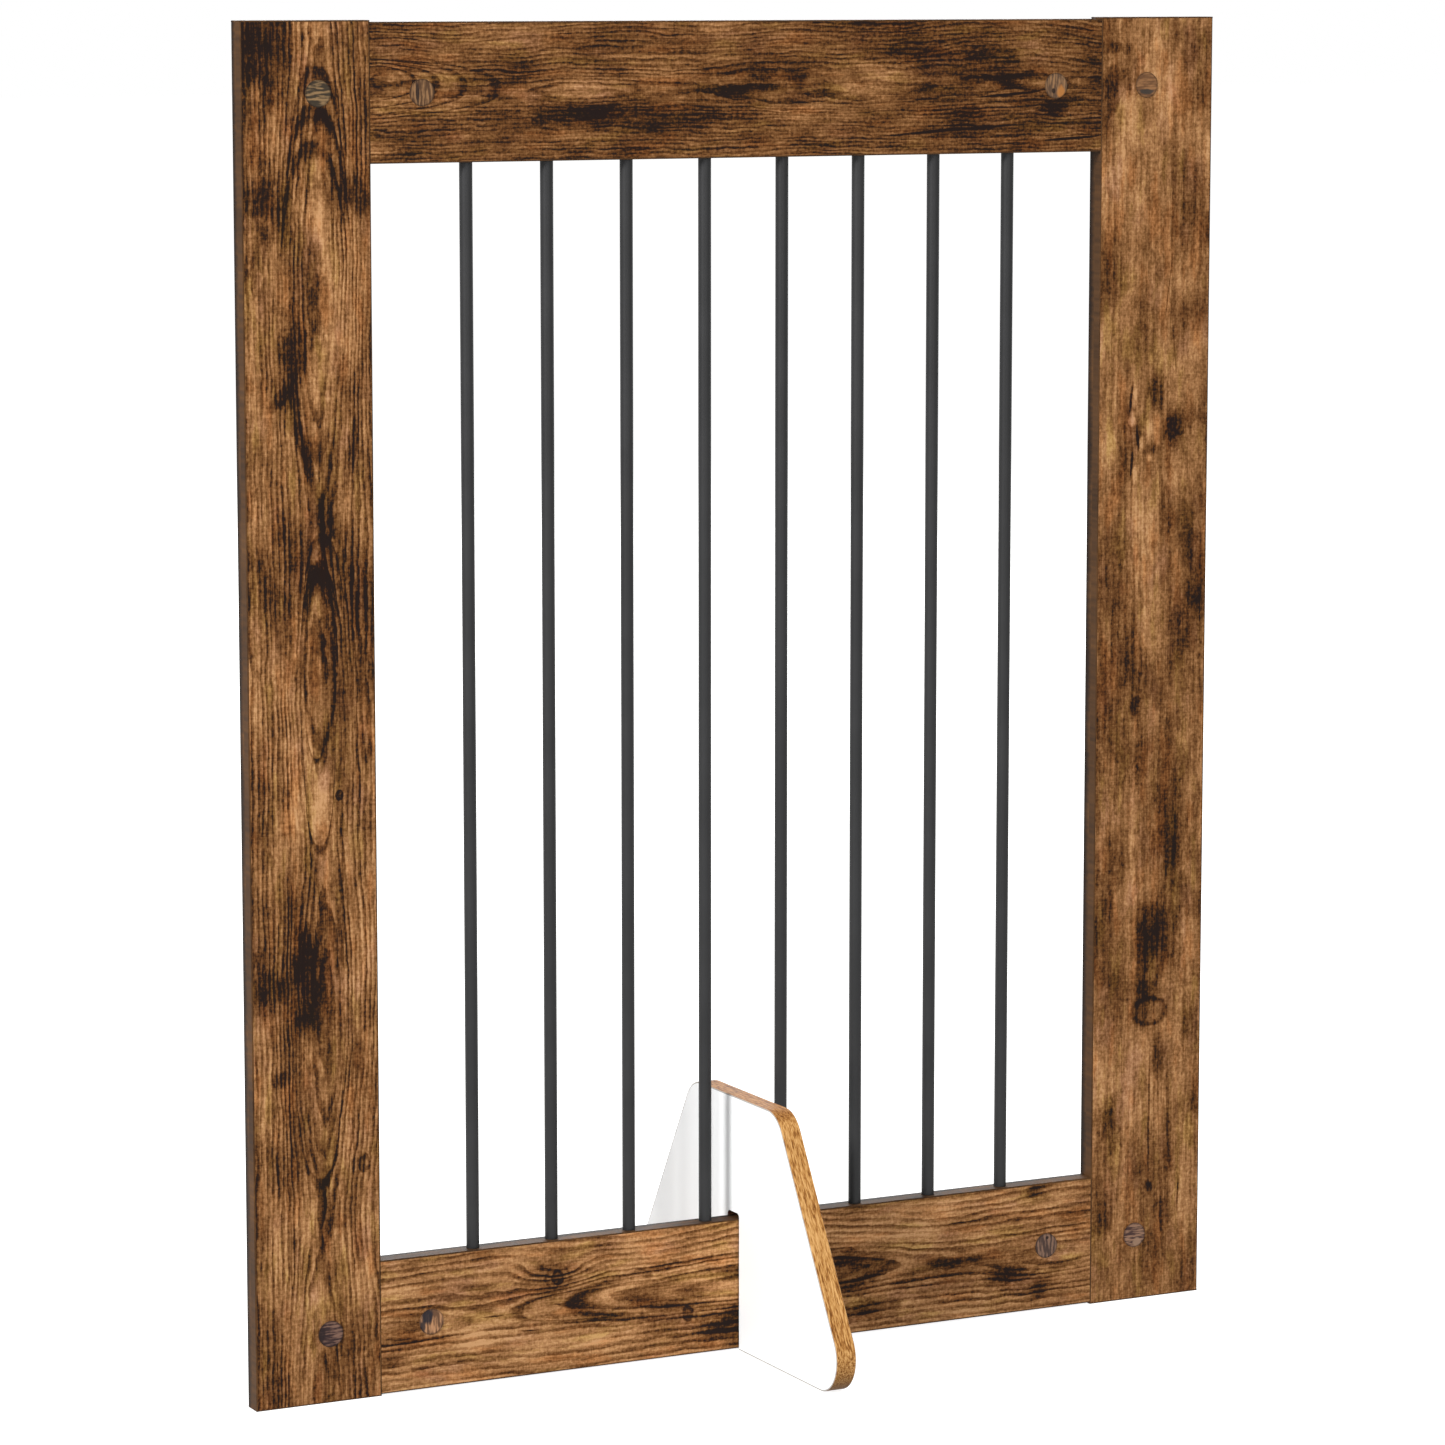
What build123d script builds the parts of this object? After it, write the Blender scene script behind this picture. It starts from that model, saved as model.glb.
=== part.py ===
from build123d import *
import os

# A free-standing slatted barrier: two upright boards (stiles) and two cross boards (rails) make a
# flat frame, round bars fill it, and one slotted foot straddles the bottom rail.
# +X runs along the panel, -Y is the front (the side with the cover caps), +Z is up. The origin is
# on the floor, under the middle of the foot. All sizes are in millimetres.

# ---------------------------------------------------------------- driving sizes: the frame
PANEL_WIDTH = 600.0
PANEL_HEIGHT = 750.0
BOARD_THICKNESS = 12.0
STILE_WIDTH = 74.0
RAIL_HEIGHT = 75.0
RAIL_SETBACK = 1.0  # the rails stop this far inside the ends of the stiles
BAND_THICKNESS = 0.8  # plastic edge banding, glued round the boards
BAND_ROUNDING = 0.4  # radius on the banding's outer arrises

# ---------------------------------------------------------------- driving sizes: the bars
BAR_COUNT = 8
BAR_PITCH = 48.0
BAR_DIAMETER = 7.2
BAR_SOCKET = 12.0  # depth of the blind hole at each end
BAR_SOCKET_CLEARANCE = 0.1  # on the radius
BAR_END_GAP = 1.0  # left above each bar, in the top rail
BAR_CHAMFER = 0.6

# ---------------------------------------------------------------- driving sizes: the foot
FOOT_HEIGHT = 146.0
FOOT_THICKNESS = 12.0
FOOT_BASE = 280.0  # along the floor, to the sharp corners
FOOT_TOP = 106.0  # along the top edge, to the sharp corners
FOOT_ROUNDING = 20.0  # radius of the four outer corners
SLOT_SIDE_CLEARANCE = 1.0  # from the rail's face to the slot's wall
SLOT_HEADROOM = 3.0  # from the rail's top edge to the slot's end
SLOT_ROUNDING = 2.5

# ---------------------------------------------------------------- driving sizes: cam fittings
CAM_SETBACK = 30.0  # from the joint line to the cam's axis, in each board
CAM_CLEARANCE = 0.1  # on the radius, cam in its hole
CAM_END_GAP = 0.3  # above and below the cam, in its hole
CAM_HOLE_SKIN = 2.0  # board left behind the blind hole
CAM_WALL = 1.3  # thinnest wall of the cam
CAM_ECCENTRICITY = 0.5  # the pocket's offset, which pulls the joint shut
CAM_SLOT_END = 45.0  # degrees past the bolt at each end of the neck slot
CAM_ENTRY_HALF_ANGLE = 42.0  # degrees each side of the opening that takes the bolt's head
CAM_RECESS_LENGTH = 6.0  # cross recess for a screwdriver
CAM_RECESS_WIDTH = 1.2
CAM_RECESS_SHARE = 0.6  # of the cam's front plate
HEAD_DIAMETER = 5.8  # the bolt's ball heads
HEAD_CLEARANCE = 1.2  # from the bolt's head to the pocket's wall
HEAD_OFFSET = 0.5  # from the cam's axis towards the joint line
NECK_DIAMETER = 3.6
NECK_CLEARANCE = 0.3
SHANK_DIAMETER = 5.0
SHANK_GAP = 1.1  # from the cam's rim to the thicker shank
BOLT_BORE_CLEARANCE = 0.2  # on the radius, round the bolt's head
CAP_OVERLAP = 1.25  # how far a cover cap reaches past its hole
CAP_THICKNESS = 0.4
CAP_ROUNDING = 0.15

# ---------------------------------------------------------------- driving sizes: dowels
DOWEL_DIAMETER = 6.0
DOWEL_LENGTH = 30.0
DOWEL_SPREAD = 44.0  # between the two dowels of a joint
DOWEL_CLEARANCE = 0.05
DOWEL_END_GAP = 1.0  # left past the dowel, in the rail
DOWEL_CHAMFER = 0.8
FLUTE_COUNT = 8
FLUTE_RADIUS = 0.35

# ---------------------------------------------------------------- places that follow from them
HALF_BOARD = BOARD_THICKNESS / 2
FRONT_Y = -HALF_BOARD
JOINT_X = PANEL_WIDTH / 2 - STILE_WIDTH  # the line where a stile meets the rails
OPENING_WIDTH = 2 * JOINT_X
BOTTOM_RAIL_Z = RAIL_SETBACK + RAIL_HEIGHT / 2
TOP_RAIL_Z = PANEL_HEIGHT - BOTTOM_RAIL_Z
OPENING_LOW_Z = BOTTOM_RAIL_Z + RAIL_HEIGHT / 2
OPENING_HIGH_Z = TOP_RAIL_Z - RAIL_HEIGHT / 2
CORE_WIDTH = STILE_WIDTH - 2 * BAND_THICKNESS
CORE_HEIGHT = PANEL_HEIGHT - 2 * BAND_THICKNESS
BAR_PLACES = [(i - (BAR_COUNT - 1) / 2) * BAR_PITCH for i in range(BAR_COUNT)]
BAR_SOCKET_RADIUS = BAR_DIAMETER / 2 + BAR_SOCKET_CLEARANCE
SLOT_WIDTH = BOARD_THICKNESS + 2 * SLOT_SIDE_CLEARANCE
SLOT_TOP = OPENING_LOW_Z + SLOT_HEADROOM

HEAD_RADIUS = HEAD_DIAMETER / 2
POCKET_RADIUS = HEAD_RADIUS + HEAD_CLEARANCE
CAM_RADIUS = POCKET_RADIUS + CAM_ECCENTRICITY + CAM_WALL
CAM_HOLE_RADIUS = CAM_RADIUS + CAM_CLEARANCE
CAM_HOLE_DEPTH = BOARD_THICKNESS - CAM_HOLE_SKIN
CAM_FRONT = HALF_BOARD - CAM_END_GAP  # from the board's middle plane to the cam's front
CAM_BACK = CAM_HOLE_DEPTH - HALF_BOARD - CAM_END_GAP  # and to its back
POCKET_TOP = HEAD_RADIUS + NECK_CLEARANCE
NECK_SLOT_HALF = NECK_DIAMETER / 2 + NECK_CLEARANCE
RECESS_DEPTH = (CAM_FRONT - POCKET_TOP) * CAM_RECESS_SHARE
BOLT_BORE_RADIUS = HEAD_RADIUS + BOLT_BORE_CLEARANCE
CAP_RADIUS = CAM_HOLE_RADIUS + CAP_OVERLAP
DOWEL_HOLE_RADIUS = DOWEL_DIAMETER / 2 + DOWEL_CLEARANCE

SIDES = {"left": -1, "right": 1}
LEVELS = {"bottom": BOTTOM_RAIL_Z, "top": TOP_RAIL_Z}


def write(piece, node):
    """Label a finished piece and write its STEP file."""
    piece.part.label = node
    export_step(piece.part, f"parts/{node}.step")


def front_plane(x, z):
    """A plane on the boards' front face that looks out of it."""
    return Plane(origin=(x, FRONT_Y, z), x_dir=(1, 0, 0), z_dir=(0, -1, 0))


def joint_plane(side, z, outwards):
    """A plane on the joint line, facing along X."""
    return Plane(origin=(side * JOINT_X, 0, z), z_dir=(outwards, 0, 0))


def drill_joint(side, levels, outwards, dowel_depth):
    """Drill the bolt's bore and the two dowel holes of each joint into the open part."""
    for z in levels:
        with Locations(joint_plane(side, z, outwards)):
            Hole(BOLT_BORE_RADIUS, depth=CAM_SETBACK)
        for dz in (-DOWEL_SPREAD / 2, DOWEL_SPREAD / 2):
            with Locations(joint_plane(side, z + dz, outwards)):
                Hole(DOWEL_HOLE_RADIUS, depth=dowel_depth)


# ---------------------------------------------------------------- boards
def make_stile(side):
    centre_x = side * (JOINT_X + STILE_WIDTH / 2)
    with BuildPart() as stile:
        with BuildSketch(Plane.XZ):
            with Locations((centre_x, PANEL_HEIGHT / 2)):
                Rectangle(CORE_WIDTH, CORE_HEIGHT)
        extrude(amount=HALF_BOARD, both=True)
        with Locations([front_plane(side * (JOINT_X + CAM_SETBACK), z) for z in LEVELS.values()]):
            Hole(CAM_HOLE_RADIUS, depth=CAM_HOLE_DEPTH)
        drill_joint(side, LEVELS.values(), -side, DOWEL_LENGTH / 2)
    return stile


def make_rail(centre_z, opening_z):
    with BuildPart() as rail:
        with BuildSketch(Plane.XZ):
            with Locations((0, centre_z)):
                Rectangle(OPENING_WIDTH, RAIL_HEIGHT - 2 * BAND_THICKNESS)
        extrude(amount=HALF_BOARD, both=True)
        cam_places = [front_plane(s * (JOINT_X - CAM_SETBACK), centre_z) for s in SIDES.values()]
        with Locations(cam_places):
            Hole(CAM_HOLE_RADIUS, depth=CAM_HOLE_DEPTH)
        for side in SIDES.values():
            drill_joint(side, [centre_z], side, DOWEL_LENGTH / 2 + DOWEL_END_GAP)
        with Locations([(x, 0, opening_z) for x in BAR_PLACES]):
            Hole(BAR_SOCKET_RADIUS, depth=BAR_SOCKET)
    return rail


# ---------------------------------------------------------------- edge banding
def make_upright_band(side, joint_side):
    """A strip down one long edge of a stile. The strip on the joint side is drilled."""
    edge_x = side * (JOINT_X if joint_side else PANEL_WIDTH / 2)
    inwards = side if joint_side else -side
    with BuildPart() as band:
        with BuildSketch(Plane.XZ):
            with Locations((edge_x + inwards * BAND_THICKNESS / 2, PANEL_HEIGHT / 2)):
                Rectangle(BAND_THICKNESS, CORE_HEIGHT)
        extrude(amount=HALF_BOARD, both=True)
        faces_x = band.faces().sort_by(Axis.X)
        outer_face = faces_x[0] if inwards > 0 else faces_x[-1]
        fillet(outer_face.edges().filter_by(Axis.Z), BAND_ROUNDING)
        if joint_side:
            drill_joint(side, LEVELS.values(), -side, DOWEL_LENGTH / 2)
    return band


def make_end_band(side, top):
    """A strip over the top or bottom end of a stile, over the ends of its upright strips."""
    centre_z = PANEL_HEIGHT - BAND_THICKNESS / 2 if top else BAND_THICKNESS / 2
    with BuildPart() as band:
        with BuildSketch(Plane.XZ):
            with Locations((side * (JOINT_X + STILE_WIDTH / 2), centre_z)):
                Rectangle(STILE_WIDTH, BAND_THICKNESS)
        extrude(amount=HALF_BOARD, both=True)
        outer_face = band.faces().sort_by(Axis.Z)[-1 if top else 0]
        fillet(outer_face.edges(), BAND_ROUNDING)
    return band


def make_rail_band(edge_z, upwards, drilled):
    """A strip along one edge of a rail. The strip that faces the opening is drilled for the bars."""
    with BuildPart() as band:
        with BuildSketch(Plane.XZ):
            with Locations((0, edge_z - upwards * BAND_THICKNESS / 2)):
                Rectangle(OPENING_WIDTH, BAND_THICKNESS)
        extrude(amount=HALF_BOARD, both=True)
        outer_face = band.faces().sort_by(Axis.Z)[-1 if upwards > 0 else 0]
        fillet(outer_face.edges().filter_by(Axis.X), BAND_ROUNDING)
        if drilled:
            with Locations([(x, 0, edge_z) for x in BAR_PLACES]):
                Hole(BAR_SOCKET_RADIUS, depth=2 * BAND_THICKNESS)
    return band


# ---------------------------------------------------------------- bars
def make_bar(x):
    seat_z = OPENING_LOW_Z - BAR_SOCKET
    end_z = OPENING_HIGH_Z + BAR_SOCKET - BAR_END_GAP
    with BuildPart() as bar:
        with BuildSketch(Plane.XY.offset(seat_z)):
            with Locations((x, 0)):
                Circle(BAR_DIAMETER / 2)
        extrude(amount=end_z - seat_z)
        chamfer(bar.edges().filter_by(GeomType.CIRCLE), BAR_CHAMFER)
    return bar


# ---------------------------------------------------------------- cam fittings
def cam_plane(x, z, towards):
    """The board's middle plane at a cam's axis: local X points at the joint line, Z to the front."""
    return Plane(origin=(x, 0, z), x_dir=(towards, 0, 0), z_dir=(0, -1, 0))


def make_cam(x, z, towards):
    """A drum with an off-centre pocket: claws beside the neck slot hold the bolt's head."""
    middle = cam_plane(x, z, towards)
    back = middle.offset(-CAM_BACK)
    with BuildPart() as cam:
        with BuildSketch(back):
            Circle(CAM_RADIUS)
        extrude(amount=CAM_BACK + CAM_FRONT)
        with BuildSketch(back):
            with Locations((-CAM_ECCENTRICITY, 0)):
                Circle(POCKET_RADIUS)
        extrude(amount=CAM_BACK + POCKET_TOP, mode=Mode.SUBTRACT)
        slot_sweep = 180 + 2 * CAM_SLOT_END
        slot_floor = middle.offset(-NECK_SLOT_HALF)
        entry_start = 180 - CAM_ENTRY_HALF_ANGLE
        openings = [
            (slot_floor, CAM_SLOT_END - slot_sweep, slot_sweep, 2 * NECK_SLOT_HALF),
            (back, entry_start, 2 * CAM_ENTRY_HALF_ANGLE, CAM_BACK + POCKET_TOP),
        ]
        for floor, start, sweep, depth in openings:
            with BuildSketch(floor):
                with BuildLine():
                    rim = CenterArc((0, 0), 2 * CAM_RADIUS, start, sweep)
                    Line(rim @ 1, (0, 0))
                    Line((0, 0), rim @ 0)
                make_face()
            extrude(amount=depth, mode=Mode.SUBTRACT)
        with BuildSketch(middle.offset(CAM_FRONT)):
            Rectangle(CAM_RECESS_LENGTH, CAM_RECESS_WIDTH)
            Rectangle(CAM_RECESS_WIDTH, CAM_RECESS_LENGTH)
        extrude(amount=-RECESS_DEPTH, mode=Mode.SUBTRACT)
    return cam


def make_cam_bolt(side, z):
    """A double-ended bolt across a joint: a ball head in the stile's cam and in the rail's."""
    axis_plane = Plane(origin=(side * JOINT_X, 0, z), x_dir=(1, 0, 0), z_dir=(0, -1, 0))
    head_reach = CAM_SETBACK - HEAD_OFFSET
    with BuildPart() as bolt:
        with BuildSketch(axis_plane):
            with Locations((-head_reach, 0), (head_reach, 0)):
                Circle(HEAD_RADIUS)
            Rectangle(2 * head_reach, NECK_DIAMETER)
            Rectangle(2 * (CAM_SETBACK - CAM_RADIUS - SHANK_GAP), SHANK_DIAMETER)
            with Locations((0, -CAM_SETBACK)):
                Rectangle(4 * CAM_SETBACK, 2 * CAM_SETBACK, mode=Mode.SUBTRACT)
        revolve(axis=Axis(axis_plane.origin, axis_plane.x_dir))
    return bolt


def make_cover_cap(x, z):
    with BuildPart() as cap:
        with BuildSketch(front_plane(x, z)):
            Circle(CAP_RADIUS)
        extrude(amount=CAP_THICKNESS)
        fillet(cap.faces().sort_by(Axis.Y)[0].edges(), CAP_ROUNDING)
    return cap


def make_dowel(side, z):
    """A fluted wooden dowel, pushed to the end of its hole in the stile."""
    start = Plane(origin=(side * (JOINT_X - DOWEL_LENGTH / 2), 0, z), z_dir=(side, 0, 0))
    with BuildPart() as dowel:
        with BuildSketch(start):
            Circle(DOWEL_DIAMETER / 2)
        extrude(amount=DOWEL_LENGTH)
        chamfer(dowel.edges().filter_by(GeomType.CIRCLE), DOWEL_CHAMFER)
        with BuildSketch(start):
            with PolarLocations(DOWEL_DIAMETER / 2, FLUTE_COUNT):
                Circle(FLUTE_RADIUS)
        extrude(amount=DOWEL_LENGTH, mode=Mode.SUBTRACT)
    return dowel


# ---------------------------------------------------------------- foot
def draw_foot(inset):
    """Draw the foot's outline, less a strip of the given width all round, in the open sketch."""
    corners = [
        (-FOOT_BASE / 2, 0),
        (FOOT_BASE / 2, 0),
        (FOOT_TOP / 2, FOOT_HEIGHT),
        (-FOOT_TOP / 2, FOOT_HEIGHT),
    ]
    outline = Polygon(*corners, align=None)
    fillet(outline.vertices(), FOOT_ROUNDING)
    if inset:
        offset(amount=-inset, mode=Mode.REPLACE)


def make_foot_board():
    with BuildPart() as foot:
        with BuildSketch(Plane.YZ):
            draw_foot(BAND_THICKNESS)
            with Locations((0, SLOT_TOP / 2)):
                Rectangle(SLOT_WIDTH, SLOT_TOP, mode=Mode.SUBTRACT)
        extrude(amount=FOOT_THICKNESS / 2, both=True)
        slot_end = foot.faces().filter_by(Axis.Z).sort_by(Axis.Z)[-2]
        fillet(slot_end.edges().filter_by(Axis.X), SLOT_ROUNDING)
    return foot


def make_foot_band():
    """One strip round the foot's outline, from one edge of the slot to the other."""
    with BuildPart() as band:
        with BuildSketch(Plane.YZ):
            draw_foot(0)
        extrude(amount=FOOT_THICKNESS / 2, both=True)
        rims = band.faces().filter_by(Axis.X).edges()
        fillet(rims, BAND_ROUNDING)
        with BuildSketch(Plane.YZ):
            draw_foot(BAND_THICKNESS)
            Rectangle(SLOT_WIDTH, 4 * BAND_THICKNESS)
        extrude(amount=FOOT_THICKNESS, both=True, mode=Mode.SUBTRACT)
    return band


# ---------------------------------------------------------------- write every piece
os.makedirs("parts", exist_ok=True)

for side_name, side in SIDES.items():
    write(make_stile(side), f"{side_name}_stile")
    write(make_upright_band(side, False), f"{side_name}_stile_outer_band")
    write(make_upright_band(side, True), f"{side_name}_stile_inner_band")
    write(make_end_band(side, True), f"{side_name}_stile_top_band")
    write(make_end_band(side, False), f"{side_name}_stile_bottom_band")

write(make_rail(TOP_RAIL_Z, OPENING_HIGH_Z), "top_rail")
write(make_rail(BOTTOM_RAIL_Z, OPENING_LOW_Z), "bottom_rail")
write(make_rail_band(PANEL_HEIGHT - RAIL_SETBACK, 1, False), "top_rail_top_band")
write(make_rail_band(OPENING_HIGH_Z, -1, True), "top_rail_bottom_band")
write(make_rail_band(OPENING_LOW_Z, 1, True), "bottom_rail_top_band")
write(make_rail_band(RAIL_SETBACK, -1, False), "bottom_rail_bottom_band")

for number, bar_x in enumerate(BAR_PLACES, start=1):
    write(make_bar(bar_x), f"bar_{number}")

for level_name, level_z in LEVELS.items():
    for side_name, side in SIDES.items():
        corner = f"{level_name}_{side_name}"
        write(make_cam_bolt(side, level_z), f"cam_bolt_{corner}")
        for end_name, end_z in {"lower": -DOWEL_SPREAD / 2, "upper": DOWEL_SPREAD / 2}.items():
            write(make_dowel(side, level_z + end_z), f"dowel_{corner}_{end_name}")
        for board, step in {"stile": side, "rail": -side}.items():
            cam_x = side * JOINT_X + step * CAM_SETBACK
            write(make_cam(cam_x, level_z, -step), f"cam_{corner}_{board}")
            write(make_cover_cap(cam_x, level_z), f"cover_cap_{corner}_{board}")

write(make_foot_board(), "foot_board")
write(make_foot_band(), "foot_edge_band")
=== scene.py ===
# %% [markdown]
# # A slatted barrier in rustic wood decor
#
# This lesson dresses a finished CAD model. The model is a free-standing barrier panel: two upright
# boards (stiles), two cross boards (rails), eight black bars between them, and one white foot that
# straddles the bottom rail. The shapes are all settled in CAD, and stay as they are. What Blender
# adds is the finish: printed wood on the boards, powder coat on the bars, melamine and oak edging on
# the foot. Every length in this file is in metres, unless its name or a comment says millimetres.

from math import radians

import bpy
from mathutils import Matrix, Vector


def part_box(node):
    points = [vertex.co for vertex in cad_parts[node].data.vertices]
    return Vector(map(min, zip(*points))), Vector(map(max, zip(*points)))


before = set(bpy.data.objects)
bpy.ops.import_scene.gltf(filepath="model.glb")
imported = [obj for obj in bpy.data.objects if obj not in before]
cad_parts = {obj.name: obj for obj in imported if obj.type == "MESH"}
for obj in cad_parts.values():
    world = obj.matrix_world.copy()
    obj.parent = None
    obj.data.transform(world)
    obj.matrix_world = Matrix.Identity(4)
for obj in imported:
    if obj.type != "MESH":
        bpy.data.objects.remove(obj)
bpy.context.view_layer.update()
print("pieces from CAD:", len(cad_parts))

# %% [markdown]
# ## The camera
#
# A tall flat thing is best shown from some distance through a long lens, so that its far side isn't
# much smaller than its near side. The camera stands to the left of the panel's middle, a little above
# its top edge, and looks slightly down. It could be aimed with a constraint, but two plain angles are
# easier to read: the heading, from straight ahead towards +X, and the dip.

# %% Place the camera
CAMERA_PLACE = Vector((-1.3507, -2.6323, 0.7730))
HEADING = radians(26.94)
DIP = radians(7.97)
LENS_MM = 132.8

camera_data = bpy.data.cameras.new("product_camera")
camera_data.lens = LENS_MM
camera = bpy.data.objects.new("product_camera", camera_data)
camera.location = CAMERA_PLACE
camera.rotation_euler = (radians(90) - DIP, 0, -HEADING)
bpy.context.collection.objects.link(camera)
bpy.context.scene.camera = camera
print("camera is", round(CAMERA_PLACE.length, 2), "m from the foot")

# %% [markdown]
# ## Shader arithmetic that reads like arithmetic
#
# A procedural finish is a long sum: base tone, less growth rings, less stains, plus streaks. Built
# node by node it can't be read. So one small class wraps an output socket, and its operators add
# Math nodes. Then `0.6 - rings * 0.3` is a line of Python and also a piece of the shader. The
# reflected forms, such as `__rsub__`, are what let a plain number stand on the left. Any other node
# comes from the method `node`, which sets the node's settings first, because some settings change its
# sockets. The methods after it are only short names for the nodes that every finish here asks for.

# %% The Shade class
class Shade:
    """An output socket in a material's node tree, with arithmetic."""

    def __init__(self, tree, socket=None):
        self.tree = tree
        self.socket = socket

    def node(self, kind, settings=None, sockets=None, output=0):
        """Add a node of any kind: first its settings, then the values or links of its sockets."""
        made = self.tree.nodes.new(kind)
        for name, value in (settings or {}).items():
            if name == "stops":
                set_stops(made.color_ramp, value)
            else:
                setattr(made, name, value)
        for key, value in (sockets or {}).items():
            if isinstance(value, Shade):
                self.tree.links.new(value.socket, made.inputs[key])
            else:
                made.inputs[key].default_value = value
        return Shade(self.tree, made.outputs[output] if made.outputs else None)

    def math(self, operation, *values):
        return self.node("ShaderNodeMath", {"operation": operation}, dict(enumerate(values)))

    def __add__(self, other):
        return self.math("ADD", self, other)

    def __radd__(self, other):
        return self.math("ADD", other, self)

    def __sub__(self, other):
        return self.math("SUBTRACT", self, other)

    def __rsub__(self, other):
        return self.math("SUBTRACT", other, self)

    def __mul__(self, other):
        return self.math("MULTIPLY", self, other)

    def __rmul__(self, other):
        return self.math("MULTIPLY", other, self)

    def __abs__(self):
        return self.math("ABSOLUTE", self)

    def fade(self, start, end, low=0.0, high=1.0):
        """Go smoothly from low to high while this value goes from start to end."""
        limits = {"Value": self, "From Min": start, "From Max": end, "To Min": low, "To Max": high}
        return self.node("ShaderNodeMapRange", {"interpolation_type": "SMOOTHSTEP"}, limits)

    def mix(self, share, first, second, blend="MIX"):
        """Mix two colours. A share of 0 gives the first and 1 the second."""
        settings = {"data_type": "RGBA", "blend_type": blend}
        return self.node("ShaderNodeMix", settings, {0: share, 6: first, 7: second}, output=2)

    def ramp(self, stops):
        """Turn this value into a colour: stops are pairs of a place from 0 to 1 and a colour."""
        return self.node("ShaderNodeValToRGB", {"stops": stops}, {0: self})

    def place(self):
        """Find the point being shaded, in metres in the CAD frame."""
        return self.node("ShaderNodeTexCoord", output=3)

    def facing(self):
        """Find the direction that the surface faces."""
        return self.node("ShaderNodeNewGeometry", output=1)

    def split(self):
        """Part a point or a direction into its x, y and z."""
        parts = self.node("ShaderNodeSeparateXYZ", {}, {0: self}).socket.node
        return [Shade(self.tree, socket) for socket in parts.outputs]

    def stretch(self, scale, shift=(0, 0, 0), turn=(0, 0, 0)):
        """Measure a point from a shifted and turned corner, in units of this scale."""
        sockets = {"Vector": self, "Location": shift, "Rotation": turn, "Scale": scale}
        return self.node("ShaderNodeMapping", {"vector_type": "TEXTURE"}, sockets)

    def noise(self, scale, detail, roughness=0.5, twist=0.0):
        """Cloudy noise, from 0 to 1, at a point. The scale is about how many blotches fit in a unit."""
        sockets = {"Vector": self, "Scale": scale, "Detail": detail, "Roughness": roughness}
        sockets["Distortion"] = twist
        return self.node("ShaderNodeTexNoise", {}, sockets)


def set_stops(ramp, stops):
    """Give a colour ramp node its stops."""
    while len(ramp.elements) < len(stops):
        ramp.elements.new(1.0)
    for element, (place, colour) in zip(ramp.elements, stops):
        element.position = place
        element.color = colour


# %% [markdown]
# ## Colours and materials
#
# Paint shops and foil makers give colours as screen values from 0 to 255. The shader adds up light,
# so it needs linear ones, and `paint` converts them once. A material then always ends in the same
# way: one Principled shader, with a fine bump where the surface has a grain. It goes into the
# object's own slot rather than the mesh's, so the CAD mesh stays exactly as it was handed over.

# %% Colours as a painter names them
def paint(red, green, blue):
    """Turn a screen colour, 0 to 255, into the linear colour that the shader works in."""
    shares = [value / 255 for value in (red, green, blue)]
    linear = [s / 12.92 if s <= 0.04045 else ((s + 0.055) / 1.055) ** 2.4 for s in shares]
    return (*linear, 1.0)


print("middle brown in linear light:", [round(share, 3) for share in paint(134, 92, 53)[:3]])

# %% Start and dress a material
MM_PER_METRE = 1000.0


def new_material(name):
    """Make an empty material and return it with a Shade that can add nodes to its tree."""
    material = bpy.data.materials.new(name)
    material.use_nodes = True
    material.node_tree.nodes.clear()
    return material, Shade(material.node_tree)


def finish_material(shade, colour, roughness, bump_height=None, bump_mm=0.1, **extras):
    """Close a material with one Principled shader. Extras are constants on its own sockets."""
    sockets = {"Base Color": colour, "Roughness": roughness}
    if bump_height is not None:
        bump_sockets = {"Strength": 1.0, "Distance": bump_mm / MM_PER_METRE, "Height": bump_height}
        sockets["Normal"] = shade.node("ShaderNodeBump", {}, bump_sockets)
    sockets.update({key.replace("_", " "): value for key, value in extras.items()})
    surface = shade.node("ShaderNodeBsdfPrincipled", {}, sockets)
    shade.node("ShaderNodeOutputMaterial", {}, {"Surface": surface})


def dress(node_name, material):
    """Give a CAD piece its material. The slot belongs to the object, so the mesh is untouched."""
    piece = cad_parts[node_name]
    if not piece.material_slots:
        piece.data.materials.append(None)
    for slot in piece.material_slots:
        slot.link = "OBJECT"
        slot.material = material


# %% [markdown]
# ## Where is this point on its board?
#
# The print runs along each board, so the boards need their own ruler: millimetres *along* the grain
# and *across* it, from the board's lower left corner. UV maps could hold that, but they would have to
# be laid out for each board. Texture coordinates of the kind Object give the point in metres in the
# CAD frame, whatever the mesh looks like. On a stile the grain runs up Z, and on a rail it runs along
# X. The back of a board isn't the mirror of its front. It is another stretch of the same print, so
# every point on the back is simply moved one metre along.

# %% A ruler for each board
BACK_SHIFT_MM = 1000.0


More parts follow.
